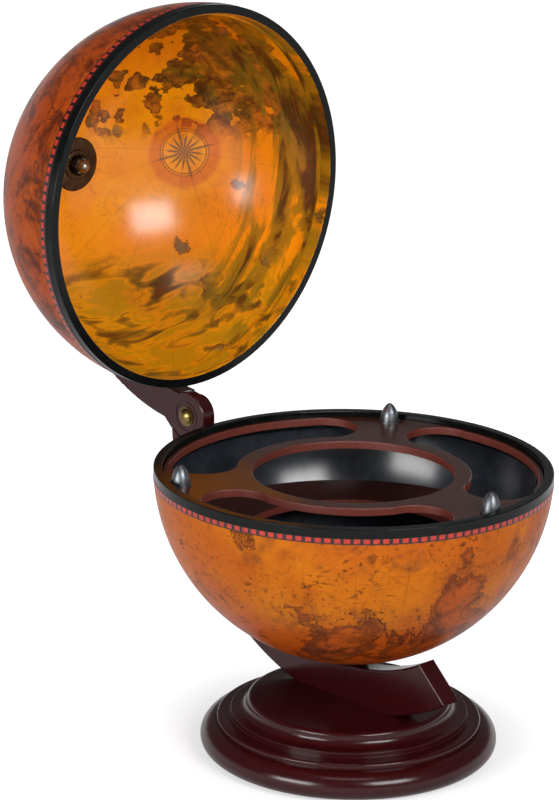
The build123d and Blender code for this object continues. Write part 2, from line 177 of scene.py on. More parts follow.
def spokes(tree, place, count, width):
    """Lines that run out from the Z axis at equal angles, as meridians and rhumb lines do."""
    share = add(tree, MATH, FOLD, {0: sectors(tree, place, count), 1: 0.5})
    angle = add(tree, MATH, MULTIPLY, {0: share, 1: math.tau / count})
    away = add(tree, MATH, MULTIPLY, {0: angle, 1: axis_distance(tree, place)})
    return contour(tree, away, 0.0, width)


def rings(tree, place, count, width):
    """Rings round the Z axis at equal steps of latitude, count of them from pole to pole."""
    level = add(tree, SPLIT, {}, {0: place}).outputs["Z"]
    latitude = add(tree, MATH, ANGLE, {0: level, 1: axis_distance(tree, place)})
    steps = add(tree, MATH, MULTIPLY, {0: latitude, 1: count / math.pi})
    share = add(tree, MATH, FOLD, {0: steps, 1: 0.5})
    away = add(tree, MATH, MULTIPLY, {0: share, 1: GLOBE_RADIUS * math.pi / count})
    return contour(tree, away, 0.0, width)


def facing(tree, place, direction, twist=0.0):
    """The place, turned so that a direction from the globe's centre becomes +Z."""
    turn = Vector(direction).rotation_difference(Vector((0, 0, 1))).to_matrix()
    turn = Matrix.Rotation(twist, 3, "Z") @ turn
    return add(tree, MAPPING, {}, {"Vector": place, "Rotation": turn.to_euler()})


# A wind rose: four long points among short ones. Its points and rings are shares of its size.
WINDS = 16
SHORT_POINT, NOTCH = 0.62, 0.2
LONG_POINT_SPREAD = 0.11    # half angle of a long point, in quarter turns
INNER_RING, OUTER_RING = 0.7, 0.78
INNER_RING_LINE, OUTER_RING_LINE = 0.66 * MM, 0.5 * MM


def wind_rose(tree, place, size):
    """A rose of winds round +Z: masks of its star, of its points' dark halves and of its rings."""
    far = axis_distance(tree, place)
    winds = sectors(tree, place, WINDS)
    off_wind = add(tree, MATH, FOLD, {0: winds, 1: 0.5})
    off_quarter = add(tree, MATH, FOLD, {0: sectors(tree, place, 4), 1: 0.5})
    short_reach = {"To Min": size * SHORT_POINT, "To Max": size * NOTCH}
    short_reach = add(tree, RANGE, {}, {"Value": off_wind, "From Max": 0.5, **short_reach})
    long_reach = {"To Min": size, "To Max": 0.0}
    long_reach = add(tree, RANGE, {}, {"Value": off_quarter, "From Max": LONG_POINT_SPREAD, **long_reach})
    reach = add(tree, MATH, LARGER, {0: short_reach, 1: long_reach})
    turn = add(tree, MATH, {"operation": "FRACT"}, {0: winds})
    side = add(tree, MATH, ABOVE, {0: turn, 1: 0.5})
    level = add(tree, SPLIT, {}, {0: place}).outputs["Z"]
    near = add(tree, MATH, ABOVE, {0: level, 1: 0.0})
    star = add(tree, MATH, MULTIPLY, {0: add(tree, MATH, BELOW, {0: far, 1: reach}), 1: near})
    dark = add(tree, MATH, MULTIPLY, {0: star, 1: side})
    inner_ring = contour(tree, far, size * INNER_RING, INNER_RING_LINE)
    outer_ring = contour(tree, far, size * OUTER_RING, OUTER_RING_LINE)
    both_rings = add(tree, MATH, LARGER, {0: inner_ring, 1: outer_ring})
    return star, dark, add(tree, MATH, MULTIPLY, {0: both_rings, 1: near})


def globe_place(tree, lid):
    """A point's place on the shut globe: its centre is the origin and its top pole is at +Z."""
    turn = -LID_OPENING if lid else 0.0
    centre = LID_CENTRE if lid else BOWL_CENTRE
    shift = Matrix.Rotation(turn, 3, "X") @ -centre
    place = add(tree, COORDINATES).outputs["Object"]
    return add(tree, MAPPING, {}, {"Vector": place, "Location": shift, "Rotation": (turn, 0, 0)})


# The print outside: its inks and grounds, and the sizes of what is drawn
# The last sea tone is not an ink: it is a painted reflection of the dark base, laid low on the bowl.
SEA, SEA_DEEP, SEA_GOLD, SEA_RED, PAINTED_BASE_REFLECTION = "#b45a12", "#9e440e", "#c26c10", "#9c3a08", "#a63c0c"
LAND, LAND_SMOKE, SMOKE, SOOT = "#ac501a", "#4a2a20", "#3a2220", "#34120a"
INK, STAIN = "#2c140c", "#7c3214"
NORTH_FADE = 20 * MM                         # the upper half's tones set in from the equator to here
SHORE = 0.565                                # level of the relief at the coasts
GORES = 12                                   # paper strips that the print is glued on in
DASH = (10.3 * MM, 10.3 * MM, 1.94 * MM)     # sides of a short dash of ink
MERIDIANS = 24
PARALLELS = 12
GRATICULE_LINE = 0.53 * MM
RHUMB_LINE = 0.46 * MM
MAP_ROSE = 18.15 * MM
MAP_ROSE_DIRECTION = (-0.02, -0.8, -0.5)


def seas(tree, place):
    """Orange and gold seas, redder on the upper half, with a slightly other tone on each gore. Low on the
    bowl a darker red is a painted reflection of the dark base.
    """
    north = towards(tree, place, "Z", 0.0, NORTH_FADE)
    # painted reflection of the dark base: the print darkens towards the bowl's bottom
    reflection_low = towards(tree, place, "Z", -86 * MM, -109 * MM)
    gold = patches(tree, place, 97 * MM, 0.46, 0.68, seed=14.28)
    colour = painted(tree, SEA, SEA_GOLD, 1.0, gold)
    deep = patches(tree, place, 71.7 * MM, 0.48, 0.72, seed=7.13)
    colour = painted(tree, colour, SEA_DEEP, 0.8, deep)
    colour = painted(tree, colour, SEA_RED, 0.8, north)
    colour = painted(tree, colour, PAINTED_BASE_REFLECTION, 0.6, reflection_low)
    gore = add(tree, MATH, {"operation": "FLOOR"}, {0: sectors(tree, place, GORES)})
    tone = add(tree, "ShaderNodeTexWhiteNoise", {"noise_dimensions": "1D"}, {"W": gore})
    return painted(tree, colour, STAIN, 0.12, tone.outputs["Value"])


def lands(tree, place, colour):
    """Lands with smoky soil, inked darker along their coasts."""
    shape = {"detail": 12.0, "roughness": 0.58, "distortion": 0.5}
    relief = add(tree, NOISE, SEEDED, noise_inputs(place, 86.84 * MM, seed=43.89, **shape))
    land = add(tree, RANGE, SMOOTH, {"Value": relief, "From Min": SHORE, "From Max": SHORE + 0.02})
    smoky = patches(tree, place, 33 * MM, 0.45, 0.62, detail=6, roughness=0.6, distortion=0.4, seed=11)
    colour = painted(tree, colour, painted(tree, LAND, LAND_SMOKE, 0.9, smoky), 0.75, land)
    shaded = add(tree, RANGE, SMOOTH, {"Value": relief, "From Min": SHORE + 0.06, "From Max": SHORE})
    colour = painted(tree, colour, INK, 0.75, shaded, land)
    return painted(tree, colour, INK, 0.8, contour(tree, relief, SHORE, 0.006))


def smoke(tree, place, colour):
    """Dark smoke over land and sea, with more of it streaked over the upper half."""
    north = towards(tree, place, "Z", 0.0, NORTH_FADE)
    haze = patches(tree, place, 53.2 * MM, 0.5, 0.68, detail=9, roughness=0.68, distortion=1.1, seed=114.7)
    colour = painted(tree, colour, SMOKE, 0.66, haze)
    shape = {"detail": 10, "roughness": 0.66, "distortion": 1.8}
    streaks = patches(tree, place, 78.6 * MM, 0.47, 0.6, seed=100.8, **shape)
    return painted(tree, colour, SOOT, 0.8, north, streaks)


def specks(tree, place, colour):
    """Specks of ink in loose groups, and rows of short dashes."""
    groups = patches(tree, place, 55 * MM, 0.38, 0.56, detail=2, seed=19.8)
    coarse = patches(tree, place, 11 * MM, 0.56, 0.63, detail=8, roughness=0.72, distortion=0.3, seed=66)
    colour = painted(tree, colour, INK, 0.7, groups, coarse)
    fine = patches(tree, place, 4.125 * MM, 0.58, 0.66, roughness=0.6, seed=308)
    colour = painted(tree, colour, INK, 0.7, groups, fine)
    rows = patches(tree, place, 30 * MM, 0.52, 0.6, detail=2, seed=93.5)
    dash_place = add(tree, MAPPING, {}, {"Vector": place, "Scale": [1 / side for side in DASH]})
    dashes = patches(tree, dash_place, 1.0, 0.6, 0.64, roughness=0.6, distortion=0.2, seed=52)
    return painted(tree, colour, INK, 0.6, rows, dashes)


def drawn_lines(tree, place, colour):
    """A worn graticule, and a plain wind rose with its rhumb lines."""
    worn = patches(tree, place, 55 * MM, 0.3, 0.6, detail=4, roughness=0.6, seed=42)
    colour = painted(tree, colour, INK, 0.3, worn, spokes(tree, place, MERIDIANS, GRATICULE_LINE))
    colour = painted(tree, colour, INK, 0.22, worn, rings(tree, place, PARALLELS, GRATICULE_LINE))
    rose_place = facing(tree, place, MAP_ROSE_DIRECTION)
    colour = painted(tree, colour, INK, 0.25, worn, spokes(tree, rose_place, WINDS, RHUMB_LINE))
    star, dark, ring_lines = wind_rose(tree, rose_place, MAP_ROSE)
    colour = painted(tree, colour, SEA_GOLD, 0.3, star)
    colour = painted(tree, colour, INK, 0.5, dark)
    return painted(tree, colour, INK, 0.5, ring_lines)


def old_map(tree, place):
    """Colour of the print outside: an invented map of orange seas and smoky coasts, stained with age."""
    colour = seas(tree, place)
    for layer in (lands, smoke, specks, drawn_lines):
        colour = layer(tree, place, colour)
    stains = patches(tree, place, 6.875 * MM, 0.35, 0.75, detail=6, roughness=0.7, seed=960)
    return painted(tree, colour, STAIN, 0.25, stains)


# The print inside the lid: +Z is the lid's pole, and -Y is up when the lid stands open
SKY, SKY_RED, SKY_GOLD = "#f08c04", "#dc6a0c", "#f49c04"
OLIVE, UMBER, RUST, SLATE = "#5e5210", "#4a2c12", "#b8481c", "#56583e"
CLOUD, SWELL, CRAG, ISLET, ROSE_RED = "#a4561a", "#8c760a", "#7a6412", "#8a5418", "#c8481c"
CLOUD_PUFF = 20.625 * MM
WAVE = (74.7 * MM, 17.65 * MM, 17.65 * MM)   # sides of a wave of the swell
CRAG_DEPTH = 6.35 * MM
CRAGS_AROUND = 10.8                          # in a full turn
ISLET_SPACING = 45.83 * MM
CHART_LINE = 0.5 * MM
CHART_ROSE = 28.05 * MM
CHART_ROSE_DIRECTION = (0.62, -0.02, 0.78)
CHART_ROSE_TWIST = 0.3
RED_RING = 26.4 * MM
RED_RING_WIDTH = 8.25 * MM                   # from the middle of the ring to its faded edge


def amber_sky(tree, place):
    """Amber and gold ground, redder in places, with thin swirls of umber."""
    gold = patches(tree, place, 91.7 * MM, 0.42, 0.62, seed=102.6)
    colour = painted(tree, SKY, SKY_GOLD, 1.0, gold)
    red = patches(tree, place, 82.5 * MM, 0.5, 0.7, detail=4, roughness=0.6, distortion=0.8, seed=102)
    colour = painted(tree, colour, SKY_RED, 0.4, red)
    shape = {"detail": 8.0, "roughness": 0.6, "distortion": 1.2}
    swirl = add(tree, NOISE, SEEDED, noise_inputs(place, 71.74 * MM, seed=138, **shape))
    strands = add(tree, MATH, MULTIPLY, {0: swirl, 1: 11.0})
    strands = add(tree, MATH, FOLD, {0: strands, 1: 0.5})
    shown = patches(tree, place, 53.2 * MM, 0.42, 0.6, seed=189.1)
    return painted(tree, colour, UMBER, 0.3, contour(tree, strands, 0.0, 0.07), shown)


def clouds(tree, place, colour):
    """Billowing clouds in olive and ink over the upper part, and rust in the air between them."""
    high = towards(tree, place, "Y", -8.25 * MM, -41.25 * MM)
    inward = towards(tree, place, "X", -49.5 * MM, 8.25 * MM)
    high = add(tree, MATH, MULTIPLY, {0: high, 1: inward})
    billows = {"Vector": place, "Scale": 1 / CLOUD_PUFF, "Detail": 2.0, "Smoothness": 0.3}
    puffs = add(tree, CELLS, {"feature": "SMOOTH_F1"}, billows).outputs["Distance"]
    shape = {"detail": 5.0, "roughness": 0.55, "distortion": 0.5}
    mass = add(tree, NOISE, SEEDED, noise_inputs(place, 86.84 * MM, seed=120.46, **shape))
    mass = add(tree, MATH, SUBTRACT, {0: mass, 1: add(tree, MATH, MULTIPLY, {0: puffs, 1: 0.2})})
    cloud = add(tree, RANGE, SMOOTH, {"Value": mass, "From Min": 0.345, "From Max": 0.365})
    colour = painted(tree, colour, CLOUD, 0.6, high, cloud)
    mossy = patches(tree, place, 27.5 * MM, 0.44, 0.58, detail=8, roughness=0.65, distortion=0.8, seed=414)
    colour = painted(tree, colour, OLIVE, 0.9, high, cloud, mossy)
    between = add(tree, RANGE, SMOOTH, {"Value": puffs, "From Min": 0.25, "From Max": 0.7})
    shape = {"detail": 8, "roughness": 0.65, "distortion": 0.6}
    hatched = patches(tree, place, 9.706 * MM, 0.36, 0.6, seed=1190, **shape)
    colour = painted(tree, colour, INK, 0.8, high, cloud, between, hatched)
    colour = painted(tree, colour, INK, 0.6, high, contour(tree, mass, 0.355, 0.012))
    rusty = patches(tree, place, 55 * MM, 0.54, 0.7, detail=5, distortion=0.6, seed=216)
    return painted(tree, colour, RUST, 0.35, rusty)


def swell(tree, place, colour):
    """A swell of long waves along the lower edge."""
    low = towards(tree, place, "Y", 69.3 * MM, 108.9 * MM)
    wave_place = add(tree, MAPPING, {}, {"Vector": place, "Scale": [1 / side for side in WAVE]})
    waves = add(tree, NOISE, SEEDED, noise_inputs(wave_place, 1.0, distortion=0.8, seed=127.5))
    inks = ((SWELL, 0.7, 0.56, 0.42), (OLIVE, 0.85, 0.48, 0.57), (INK, 0.7, 0.55, 0.64))
    for ink, strength, start, full in inks:
        crest = add(tree, RANGE, SMOOTH, {"Value": waves, "From Min": start, "From Max": full})
        colour = painted(tree, colour, ink, strength, low, crest)
    return colour


def crags(tree, place, colour):
    """Crags that stand inwards from the edge on one side."""
    far = axis_distance(tree, place)
    outer = add(tree, RANGE, SMOOTH, {"Value": far, "From Min": 125.4 * MM, "From Max": 148.5 * MM})
    side = towards(tree, place, "X", 41.25 * MM, 90.75 * MM)
    inwards = add(tree, MATH, MULTIPLY, {0: far, 1: 1 / CRAG_DEPTH})
    crag_place = add(tree, JOIN, {}, {"X": inwards, "Y": sectors(tree, place, CRAGS_AROUND)})
    shape = {"detail": 6.0, "roughness": 0.55, "distortion": 0.6}
    cliffs = add(tree, NOISE, SEEDED, noise_inputs(crag_place, 1.0, seed=78, **shape))
    inks = ((CRAG, 0.8, 0.45, 0.52), (INK, 0.85, 0.54, 0.62))
    for ink, strength, start, full in inks:
        cliff = add(tree, RANGE, SMOOTH, {"Value": cliffs, "From Min": start, "From Max": full})
        colour = painted(tree, colour, ink, strength, outer, side, cliff)
    return colour


def islets(tree, place, colour):
    """Small ragged islets, each with an inked edge round a grey shore."""
    cells = add(tree, CELLS, {}, {"Vector": place, "Scale": 1 / ISLET_SPACING}).outputs["Distance"]
    shape = {"detail": 6, "roughness": 0.7, "distortion": 0.5}
    ragged = patches(tree, place, 13.75 * MM, 0.3, 0.7, seed=972, **shape)
    ragged = add(tree, MATH, MULTIPLY, {0: ragged, 1: 0.22})
    islet = add(tree, MATH, {"operation": "ADD"}, {0: cells, 1: ragged})
    chosen = patches(tree, place, 63.46 * MM, 0.46, 0.54, detail=1, seed=218.4)
    ground = add(tree, RANGE, SMOOTH, {"Value": islet, "From Min": 0.27, "From Max": 0.24})
    colour = painted(tree, colour, ISLET, 0.7, chosen, ground)
    colour = painted(tree, colour, INK, 0.75, chosen, contour(tree, islet, 0.26, 0.022))
    return painted(tree, colour, SLATE, 0.7, chosen, contour(tree, islet, 0.2, 0.05))


def chart_rose(tree, place, colour):
    """A plain wind rose on a red ring, with its rhumb lines."""
    rose_place = facing(tree, place, CHART_ROSE_DIRECTION, CHART_ROSE_TWIST)
    star, dark, ring_lines = wind_rose(tree, rose_place, CHART_ROSE)
    red_ring = contour(tree, axis_distance(tree, rose_place), RED_RING, RED_RING_WIDTH)
    level = add(tree, SPLIT, {}, {0: place}).outputs["Z"]
    near = add(tree, MATH, ABOVE, {0: level, 1: 0.0})
    colour = painted(tree, colour, ROSE_RED, 0.5, red_ring, near)
    colour = painted(tree, colour, SLATE, 0.4, star)
    colour = painted(tree, colour, UMBER, 0.75, dark)
    colour = painted(tree, colour, UMBER, 0.7, ring_lines)
    return painted(tree, colour, UMBER, 0.2, spokes(tree, rose_place, WINDS, CHART_LINE))


def sky_chart(tree, place):
    """Colour of the print inside the lid: an invented sky over a sea, worn with age."""
    colour = amber_sky(tree, place)
    for layer in (clouds, swell, crags, islets, chart_rose):
        colour = layer(tree, place, colour)
    wear = patches(tree, place, 8.25 * MM, 0.35, 0.75, detail=6, roughness=0.7, seed=1600)
    return painted(tree, colour, RUST, 0.16, wear)


# Finishes. The real grain, grit and nap are too fine to show, so they are drawn 1 to 2.5 mm wide.

MAHOGANY_GRAIN = (16.7 * MM, 1.11 * MM, 16.7 * MM)
BOARD_GRAIN = (16.7 * MM, 2.5 * MM, 2.5 * MM)
PORE_SHARE = 0.25    # length of a pore, as a share of the grain's
GRIT = 1.11 * MM
NAP = 1.11 * MM
TARNISH_SPOT = 4.55 * MM


def varnished_print(name, lid):
    """Paper print under varnish on a moulded shell: an even sheen. The bowl is sprayed black inside; its
    bluish dark grey is partly a painted sheen.
    """
    material, tree = new_tree(name)
    place = globe_place(tree, lid)
    far = add(tree, VECTOR, LENGTH, {0: place}).outputs["Value"]
    inside = add(tree, MATH, BELOW, {0: far, 1: GLOBE_RADIUS - PRINT_DEPTH})
    # The bowl's black spray is drawn bluish grey: partly its own colour, partly a painted sheen.
    spray_and_sheen = patches(tree, place, 8.25 * MM, 0.3, 0.7, detail=4, roughness=0.6)
    spray_and_sheen = painted(tree, "#181c22", "#22272e", 1.0, spray_and_sheen)
    lining = sky_chart(tree, place) if lid else spray_and_sheen
    colour = painted(tree, old_map(tree, place), lining, 1.0, inside)
    gloss = patches(tree, place, 23.6 * MM, 0.3, 0.7, detail=4, roughness=0.6, seed=630)
    roughness = add(tree, RANGE, {}, {"Value": gloss, "To Min": 0.3, "To Max": 0.38})
    ripple = patches(tree, place, 2.75 * MM, 0.2, 0.8)
    ripple = add(tree, BUMP, {}, {"Strength": 0.04, "Distance": 0.3 * MM, "Height": ripple})
    varnish = add(tree, RANGE, {}, {"Value": inside, "To Min": 0.06, "To Max": 0.85 if lid else 1.0})
    finish_surface(
        tree,
        Base_Color=colour,
        Roughness=roughness,
        Normal=ripple,
        Specular_IOR_Level=0.05,
        Coat_Weight=varnish,
        Coat_Roughness=0.2,
    )
    return material


def lacquered_mahogany():
    """Red-brown stained wood under gloss lacquer: dark, with fine, faint streaks along the grain."""
    material, tree = new_tree("lacquered mahogany")
    place = add(tree, COORDINATES).outputs["Object"]
    along = add(tree, MAPPING, {}, {"Vector": place, "Scale": [1 / side for side in MAHOGANY_GRAIN]})
    streaks = patches(tree, along, 1.0, 0.25, 0.75, detail=6, roughness=0.62, distortion=0.4)
    pores = patches(tree, along, PORE_SHARE, 0.58, 0.72, roughness=0.6, seed=8)
    colour = painted(tree, "#280509", "#33080c", 1.0, streaks)
    colour = painted(tree, colour, "#1e0406", 0.15, pores)
    roughness = add(tree, RANGE, {}, {"Value": streaks, "To Min": 0.19, "To Max": 0.22})
    grain = add(tree, BUMP, {}, {"Strength": 0.01, "Distance": 0.05 * MM, "Height": pores})
    finish_surface(tree, Base_Color=colour, Roughness=roughness, Normal=grain, Specular_IOR_Level=0.32)
    return material


def stained_board():
    """Fine fibre board, stained brown and varnished on its faces: the cut edges are redder and duller."""
    material, tree = new_tree("stained board")
    place = add(tree, COORDINATES).outputs["Object"]
    normal = add(tree, COORDINATES).outputs["Normal"]
    upright = add(tree, SPLIT, {}, {0: normal}).outputs["Z"]
    upright = add(tree, MATH, POSITIVE, {0: upright})
    flat = add(tree, RANGE, SMOOTH, {"Value": upright, "From Min": 0.55, "From Max": 0.95})
    along = add(tree, MAPPING, {}, {"Vector": place, "Scale": [1 / side for side in BOARD_GRAIN]})
    face = patches(tree, along, 1.0, 0.3, 0.7, detail=5, roughness=0.65)
    face = painted(tree, "#2c120c", "#3a1a12", 1.0, face)
    grit = patches(tree, place, GRIT, 0.3, 0.7, roughness=0.6)
    cut_edge = painted(tree, "#4c1c14", "#6c2c20", 1.0, grit)
    colour = painted(tree, cut_edge, face, 1.0, flat)
    roughness = add(tree, RANGE, {}, {"Value": flat, "To Min": 0.5, "To Max": 0.2})
    bump = add(tree, BUMP, {}, {"Strength": 0.05, "Distance": 0.1 * MM, "Height": grit})
    finish_surface(tree, Base_Color=colour, Roughness=roughness, Normal=bump, IOR=1.5)
    return material


def black_lacquer(name, lined):
    """Black gloss lacquer on a moulded ring. The lid's lining print laps over its ring's inner wall."""
    material, tree = new_tree(name)
    place = globe_place(tree, lined)
    wear = patches(tree, place, 11 * MM, 0.45, 0.8, detail=5, roughness=0.6)
    colour = painted(tree, "#080a0a", "#131616", 1.0, wear)
    if lined:
        wall = add(tree, MATH, BELOW, {0: axis_distance(tree, place), 1: RIM_WALL})
        colour = painted(tree, colour, sky_chart(tree, place), 0.9, wall)
    roughness = add(tree, RANGE, {}, {"Value": wear, "To Min": 0.2, "To Max": 0.28})
    waves = add(tree, BUMP, {}, {"Strength": 0.03, "Distance": 0.2 * MM, "Height": wear})
    finish_surface(tree, Base_Color=colour, Roughness=roughness, Normal=waves, Specular_IOR_Level=0.16)
    return material


def metal(name, dark, light, rough, rougher, spot=TARNISH_SPOT):
    """Plated or cast metal: tarnish gathers in spots and dulls it."""
    material, tree = new_tree(name)
    place = add(tree, COORDINATES).outputs["Object"]
    tarnish = patches(tree, place, spot, 0.3, 0.7, detail=6, roughness=0.65)
    roughness = add(tree, RANGE, {}, {"Value": tarnish, "To Min": rough, "To Max": rougher})
    pits = add(tree, BUMP, {}, {"Strength": 0.04, "Distance": 0.1 * MM, "Height": tarnish})
    colour = painted(tree, light, dark, 1.0, tarnish)
    finish_surface(tree, Base_Color=colour, Metallic=1.0, Roughness=roughness, Normal=pits)
    return material


def wool_felt():
    """Pressed wool: matt, with a short nap."""
    material, tree = new_tree("wool felt")
    place = add(tree, COORDINATES).outputs["Object"]
    nap = patches(tree, place, NAP, 0.3, 0.7, detail=4, roughness=0.7)
    fluff = add(tree, BUMP, {}, {"Strength": 0.6, "Distance": 0.4 * MM, "Height": nap})
    colour = painted(tree, "#141612", "#2a2c26", 1.0, nap)
    finish_surface(tree, Base_Color=colour, Roughness=0.95, Normal=fluff, Sheen_Weight=0.3)
    return material


def printed_ink(name, thin, full):
    """Ink of the band beside the rim, under varnish, a little uneven where the paper shows through."""
    material, tree = new_tree(name)
    place = add(tree, COORDINATES).outputs["Object"]
    uneven = patches(tree, place, 3.33 * MM, 0.35, 0.65, detail=4, roughness=0.6)
    colour = painted(tree, thin, full, 1.0, uneven)
    finish_surface(tree, Base_Color=colour, Roughness=0.32, IOR=1.5)
    return material


def dress(material, *names):
    """Gives CAD nodes a material."""
    for name in names:
        nodes[name].data.materials.clear()
        nodes[name].data.materials.append(material)


mahogany = lacquered_mahogany()
board = stained_board()
bronze = metal("cast bronze", "#3c2c20", "#5c4430", 0.32, 0.42, spot=11.1 * MM)
brass = metal("turned brass", "#5e4e30", "#8c7848", 0.26, 0.4)
zinc = metal("zinc plated steel", "#6a6458", "#9c968a", 0.25, 0.4)
blackened = metal("blackened steel", "#060606", "#141414", 0.4, 0.5)
nickel = metal("black nickel plate", "#585a5e", "#7c8084", 0.38, 0.46)

dress(varnished_print("varnished map print, bowl", False), "bowl_shell")
dress(varnished_print("varnished map print, lid", True), "lid_shell")
dress(mahogany, "base", "lower_arm", "upper_arm")
dress(board, "glass_rack", "glass_shelf", "bottle_floor", "rack_cleat_1", "rack_cleat_2", "rack_cleat_3")
dress(black_lacquer("black lacquer, bowl", False), "bowl_rim")
dress(black_lacquer("black lacquer, lid", True), "lid_rim")
dress(nickel, "rack_knob_1", "rack_knob_2", "rack_knob_3")
dress(bronze, "bowl_rosette", "lid_rosette")
dress(brass, "hinge_bolt", "hinge_head_washer", "hinge_slip_washer", "hinge_nut_washer", "hinge_nut")
dress(zinc, "arm_screws")
dress(wool_felt(), "felt_pad")
for half in ("bowl", "lid"):
    dress(zinc, half + "_bolt", half + "_bolt_washer", half + "_cap_nut")
    dress(blackened, half + "_star_washer", half + "_spacer")


# The band of red blocks on a dark strip, round each half of the globe beside its rim.
# Levels are measured from the globe's equator.
BODIES = {"bowl": "stand", "lid": "lid"}
STRIP_LEVELS = {"bowl": (-14.3 * MM, -9.3 * MM), "lid": (6.1 * MM, 12.9 * MM)}
STRIP_PROUD = 0.06 * MM
STRIP_DEPTH = 0.3 * MM       # how far the strip reaches into the shell
STRIP_STEPS = 240
DENTIL_COUNT = 136
DENTIL_LEVELS = {"bowl": -11.4 * MM, "lid": 10.1 * MM}
DENTIL_LENGTH = 3.7 * MM
DENTIL_WIDTH = 4.8 * MM
DENTIL_PROUD = 0.15 * MM


def dentil_row_tree():
    """Geometry Nodes: blocks in a row round the globe, each square to the globe's surface."""
    tree = bpy.data.node_groups.new("dentil row", "GeometryNodeTree")
    tree.interface.new_socket("Geometry", in_out="OUTPUT", socket_type="NodeSocketGeometry")
    for name in ("Radius", "Latitude", "Length", "Width", "Thickness"):
        tree.interface.new_socket(name, in_out="INPUT", socket_type="NodeSocketFloat")
    tree.interface.new_socket("Count", in_out="INPUT", socket_type="NodeSocketInt")
    tree.interface.new_socket("Material", in_out="INPUT", socket_type="NodeSocketMaterial")
    given = add(tree, "NodeGroupInput").outputs
    step = add(tree, MATH, {"operation": "DIVIDE"}, {0: math.tau, 1: given["Count"]})
    angle = add(tree, MATH, MULTIPLY, {0: add(tree, "GeometryNodeInputIndex"), 1: step})
    lean = add(tree, MATH, MULTIPLY, {0: given["Latitude"], 1: -1.0})
    turn = add(tree, JOIN, {}, {"Y": lean, "Z": angle})
    outward = add(tree, JOIN, {}, {"X": given["Radius"]})
    turning = {"Vector": outward, "Rotation": turn}
    spot = add(tree, "ShaderNodeVectorRotate", {"rotation_type": "EULER_XYZ"}, turning)
    points = add(tree, "GeometryNodePoints", {}, {"Count": given["Count"], "Position": spot})
    size = add(tree, JOIN, {}, {"X": given["Thickness"], "Y": given["Width"], "Z": given["Length"]})
    block = add(tree, "GeometryNodeMeshCube", {}, {"Size": size})
    facing_out = add(tree, "FunctionNodeEulerToRotation", {}, {"Euler": turn})
    blocks = {"Points": points, "Instance": block, "Rotation": facing_out}
    row = add(tree, "GeometryNodeInstanceOnPoints", {}, blocks)
    row = add(tree, "GeometryNodeRealizeInstances", {}, {"Geometry": row})
    row = add(tree, "GeometryNodeSetMaterial", {}, {"Geometry": row, "Material": given["Material"]})
    add(tree, "NodeGroupOutput", {}, {"Geometry": row})
    return tree


def grown(name, tree, **sizes):
    """The plain mesh that a Geometry Nodes tree makes from its named inputs."""
    holder = bpy.data.objects.new(name, bpy.data.meshes.new(name))
    bpy.context.scene.collection.objects.link(holder)
    modifier = holder.modifiers.new("grow", "NODES")
    modifier.node_group = tree
    for socket in tree.interface.items_tree:
        if socket.in_out == "INPUT":
            modifier[socket.identifier] = sizes[socket.name]
    bpy.context.view_layer.update()
    ready = holder.evaluated_get(bpy.context.evaluated_depsgraph_get())
    mesh = bpy.data.meshes.new_from_object(ready)
    bpy.data.objects.remove(holder)
    return mesh


def revolved(name, outline, steps, material):
    """A closed outline of (radius, level) points, going anticlockwise, turned round the Z axis."""
    count = len(outline)
    points = []
    for step in range(steps):
        angle = math.tau * step / steps
        points += [(r * math.cos(angle), r * math.sin(angle), z) for r, z in outline]
    faces = []
    for step in range(steps):
        here, there = step * count, (step + 1) % steps * count
        for i in range(count):
            j = (i + 1) % count
            faces.append((here + i, there + i, there + j, here + j))
    mesh = bpy.data.meshes.new(name)
    mesh.from_pydata(points, [], faces)
    mesh.materials.append(material)
    return mesh


def band_strip(half, ink):
    """The dark strip under a row of blocks, curved with the globe, in the shut globe's frame."""
    lower, upper = [math.asin(level / GLOBE_RADIUS) for level in STRIP_LEVELS[half]]
    edges = [lower, (lower + upper) / 2, upper]
    outside, under = GLOBE_RADIUS + STRIP_PROUD, GLOBE_RADIUS - STRIP_DEPTH
    outline = [(outside * math.cos(a), outside * math.sin(a)) for a in edges]
    outline += [(under * math.cos(a), under * math.sin(a)) for a in reversed(edges)]
    return revolved(half + "_band_strip", outline, STRIP_STEPS, ink)


def dentils(half, tree, ink):
    """A row of blocks, in the shut globe's frame."""
    return grown(
        half + "_dentils",
        tree,
        Radius=GLOBE_RADIUS,
        Latitude=math.asin(DENTIL_LEVELS[half] / GLOBE_RADIUS),
        Length=DENTIL_LENGTH,
        Width=DENTIL_WIDTH,
        Thickness=2 * DENTIL_PROUD,
        Count=DENTIL_COUNT,
        Material=ink,
    )


def place_on_globe(name, mesh, half):
    """Makes a piece of a mesh in the shut globe's frame. It rides with its half of the globe."""
    if half == "lid":
        mesh.transform(Matrix.Translation(LID_CENTRE) @ opened.to_4x4())
    else:
        mesh.transform(Matrix.Translation(BOWL_CENTRE))
    piece = bpy.data.objects.new(name, mesh)
    bpy.context.scene.collection.objects.link(piece)
    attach(piece, BODIES[half])


dentil_tree = dentil_row_tree()
dentil_ink = printed_ink("red band ink", "#9c2416", "#b4301e")
strip_ink = printed_ink("dark band ink", "#140403", "#260806")
for half in BODIES:
    place_on_globe(half + "_band_strip", band_strip(half, strip_ink), half)
    place_on_globe(half + "_dentils", dentils(half, dentil_tree, dentil_ink), half)


# The floor, the light and the camera. Azimuths are turned from the front, -Y, towards +X.

CAMERA_AZIMUTH = math.radians(-46.310)
CAMERA_ELEVATION = math.radians(17.5202)
camera_flat = Vector((math.sin(CAMERA_AZIMUTH), -math.cos(CAMERA_AZIMUTH), 0))
camera_side = Vector((math.cos(CAMERA_AZIMUTH), math.sin(CAMERA_AZIMUTH), 0))

FLOOR_SIDE = 12.0
FLOOR_LIGHT = 0.6            # share of its own light that the floor shows in glossy surfaces
